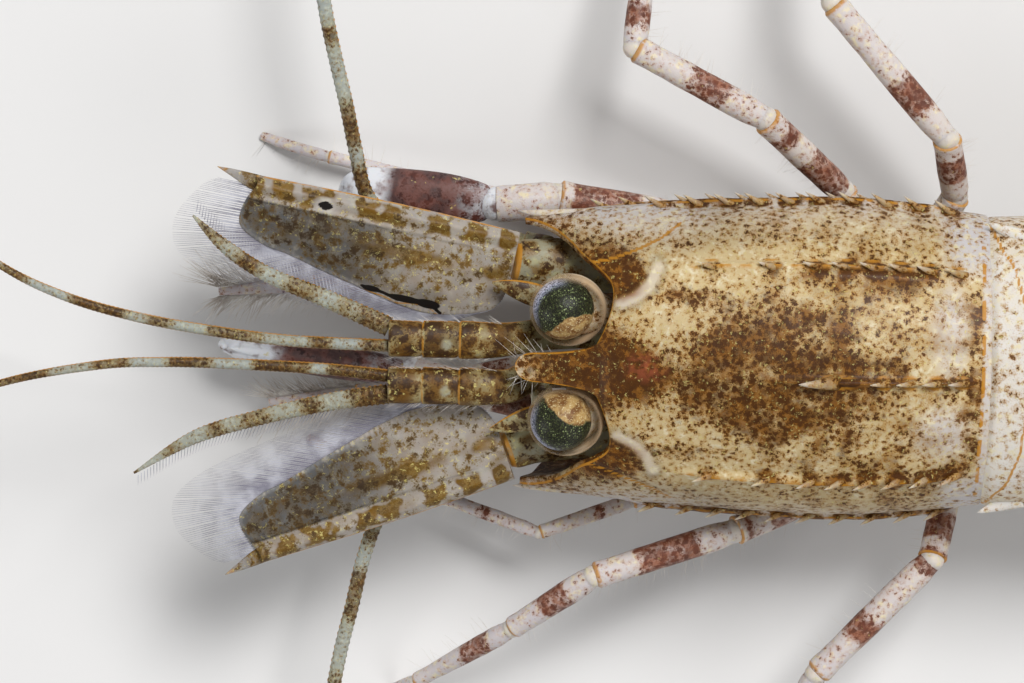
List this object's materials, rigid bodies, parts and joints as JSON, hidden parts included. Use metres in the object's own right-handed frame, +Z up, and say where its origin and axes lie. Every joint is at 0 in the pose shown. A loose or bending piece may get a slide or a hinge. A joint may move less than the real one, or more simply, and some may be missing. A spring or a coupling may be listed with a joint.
{
  "type": "sevenline shrimp",
  "caption": "Life-size shrimp standing on the floor: keeled shield with toothed ridges, round eyes, bristle-edged scales, claws, walking legs, tapering tail and fan.",
  "frame": {"origin": "middle of the whole animal's box, on the floor under the leg tips and tail fan", "axes": "+X from head to tail, +Y to the animal's right side, +Z up"},
  "size_m": [0.1096, 0.0908, 0.014],
  "materials": {
    "shell": "cream shell with brown speckles, semi-gloss",
    "limb": "banded brown and white limbs, semi-gloss",
    "clear": "thin translucent blades and paddles, semi-gloss",
    "eye": "dark eye under a clear rim, high gloss"
  },
  "bodies": {
    "root": {"abdomen_1": "shell", "abdomen_2": "shell", "abdomen_3": "shell", "abdomen_4": "shell", "abdomen_5": "shell", "abdomen_6": "shell", "antenna_base_left": "limb", "antenna_base_right": "limb", "antenna_scale_left": "clear", "antenna_scale_right": "clear", "antennule_left": "limb", "antennule_right": "limb", "carapace": "shell", "claw_arm_left": "limb", "claw_arm_right": "limb", "claw_hand_left": "limb", "claw_hand_right": "limb", "eye_left": "eye", "eye_right": "eye", "feeler_far_left": "limb", "feeler_far_right": "limb", "feeler_near_left": "limb", "feeler_near_right": "limb", "inner_whip_left": "limb", "inner_whip_right": "limb", "leg2_left": "limb", "leg2_right": "limb", "leg3_left_lower": "limb", "leg3_left_upper": "limb", "leg3_right_lower": "limb", "leg3_right_upper": "limb", "leg4_left_lower": "limb", "leg4_left_upper": "limb", "leg4_right_lower": "limb", "leg4_right_upper": "limb", "leg5_left_lower": "limb", "leg5_left_upper": "limb", "leg5_right_lower": "limb", "leg5_right_upper": "limb", "maxilliped_left": "limb", "maxilliped_right": "limb", "mouthparts": "shell", "outer_whip_left": "limb", "outer_whip_right": "limb", "sternum": "shell", "swimmeret_1_left": "clear", "swimmeret_1_right": "clear", "swimmeret_2_left": "clear", "swimmeret_2_right": "clear", "swimmeret_3_left": "clear", "swimmeret_3_right": "clear", "swimmeret_4_left": "clear", "swimmeret_4_right": "clear", "swimmeret_5_left": "clear", "swimmeret_5_right": "clear", "tail_inner_left": "clear", "tail_inner_right": "clear", "tail_outer_left": "clear", "tail_outer_right": "clear", "telson": "shell"}
  },
  "joints": []
}
